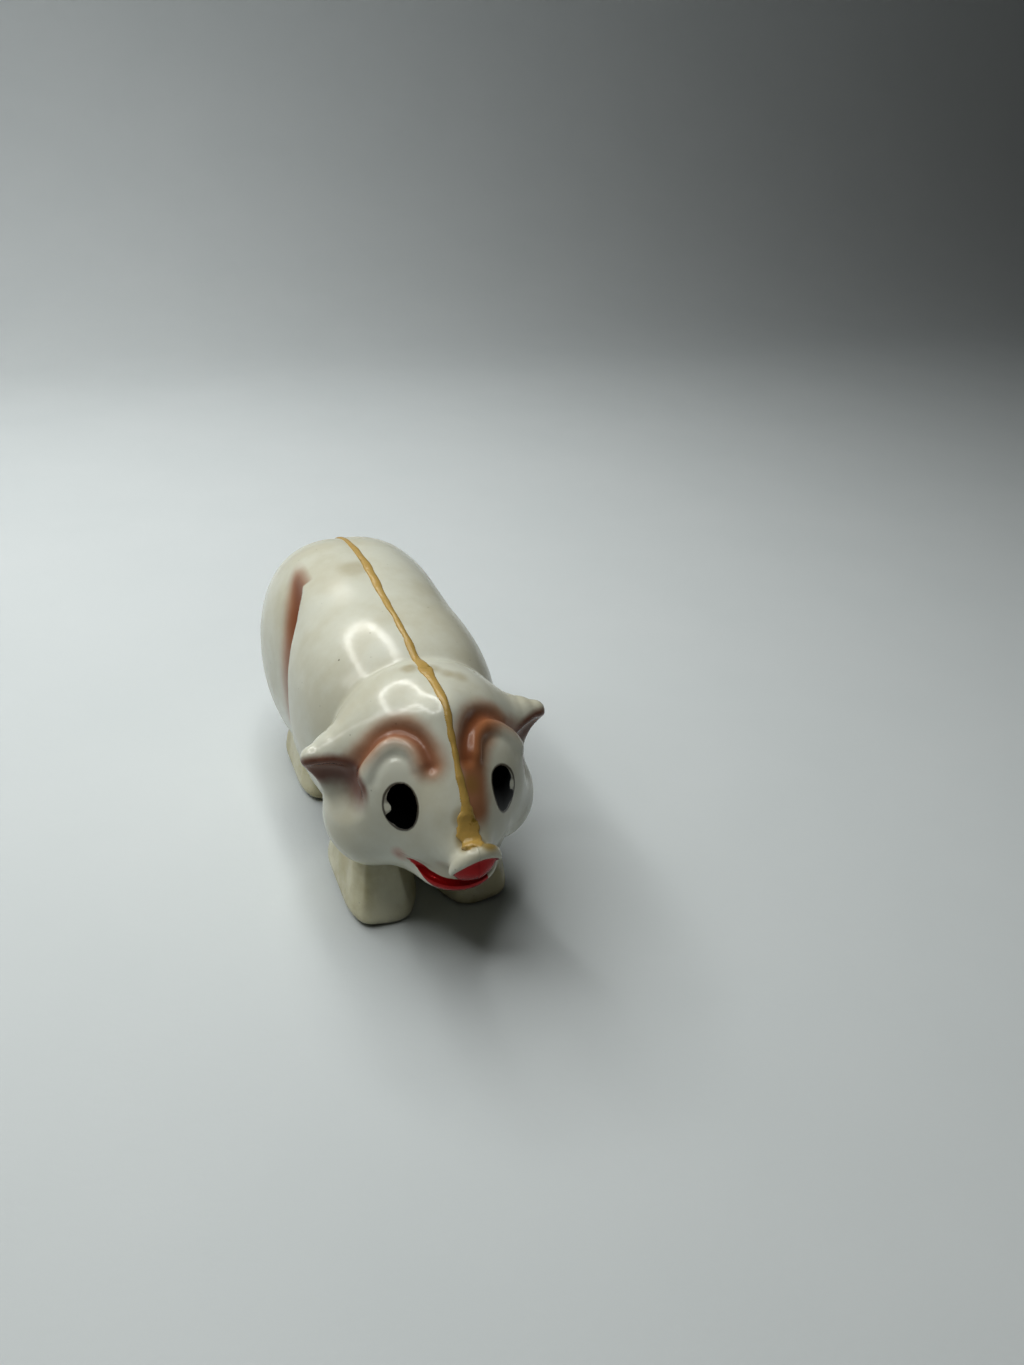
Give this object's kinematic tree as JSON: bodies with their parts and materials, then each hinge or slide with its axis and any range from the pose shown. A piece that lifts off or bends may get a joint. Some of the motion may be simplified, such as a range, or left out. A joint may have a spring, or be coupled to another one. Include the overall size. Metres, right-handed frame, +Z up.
{
  "type": "ramp walking toy pig",
  "caption": "Small hollow plastic toy pig that waddles down a slope: cemented two-piece body with loose legs swinging on cross pins inside.",
  "frame": {"origin": "centre of the bounding box's base, on the surface the feet stand on", "axes": "+Z up, the pig looks along -Y, its left side is +X"},
  "size_m": [0.0334, 0.0773, 0.039],
  "materials": {
    "body_shell": "glossy ivory-white moulded plastic with airbrushed terracotta, black eyes and red snout and mouth",
    "leg_plastic": "milky greenish-ivory plastic, slightly translucent, semi-gloss",
    "cement": "aged mustard-yellow dried cement, semi-gloss",
    "steel": "plain drawn steel pin"
  },
  "bodies": {
    "body": {"body_left_half": "body_shell", "body_right_half": "body_shell", "seam_cement": "cement", "front_axle": "steel", "rear_axle": "steel"},
    "front_left_leg": {"leg_front_left": "leg_plastic"},
    "front_right_leg": {"leg_front_right": "leg_plastic"},
    "rear_left_leg": {"leg_rear_left": "leg_plastic"},
    "rear_right_leg": {"leg_rear_right": "leg_plastic"}
  },
  "joints": [
    {"name": "front_left_swing", "type": "hinge", "parent": "body", "child": "front_left_leg", "pos_m": [0.0061, -0.0135, 0.021], "axis": [1, 0, 0], "range_deg": [-12, 12]},
    {"name": "front_right_swing", "type": "hinge", "parent": "body", "child": "front_right_leg", "pos_m": [-0.0061, -0.0135, 0.021], "axis": [1, 0, 0], "range_deg": [-12, 12]},
    {"name": "rear_left_swing", "type": "hinge", "parent": "body", "child": "rear_left_leg", "pos_m": [0.0061, 0.017, 0.021], "axis": [1, 0, 0], "range_deg": [-12, 12]},
    {"name": "rear_right_swing", "type": "hinge", "parent": "body", "child": "rear_right_leg", "pos_m": [-0.0061, 0.017, 0.021], "axis": [1, 0, 0], "range_deg": [-12, 12]}
  ]
}
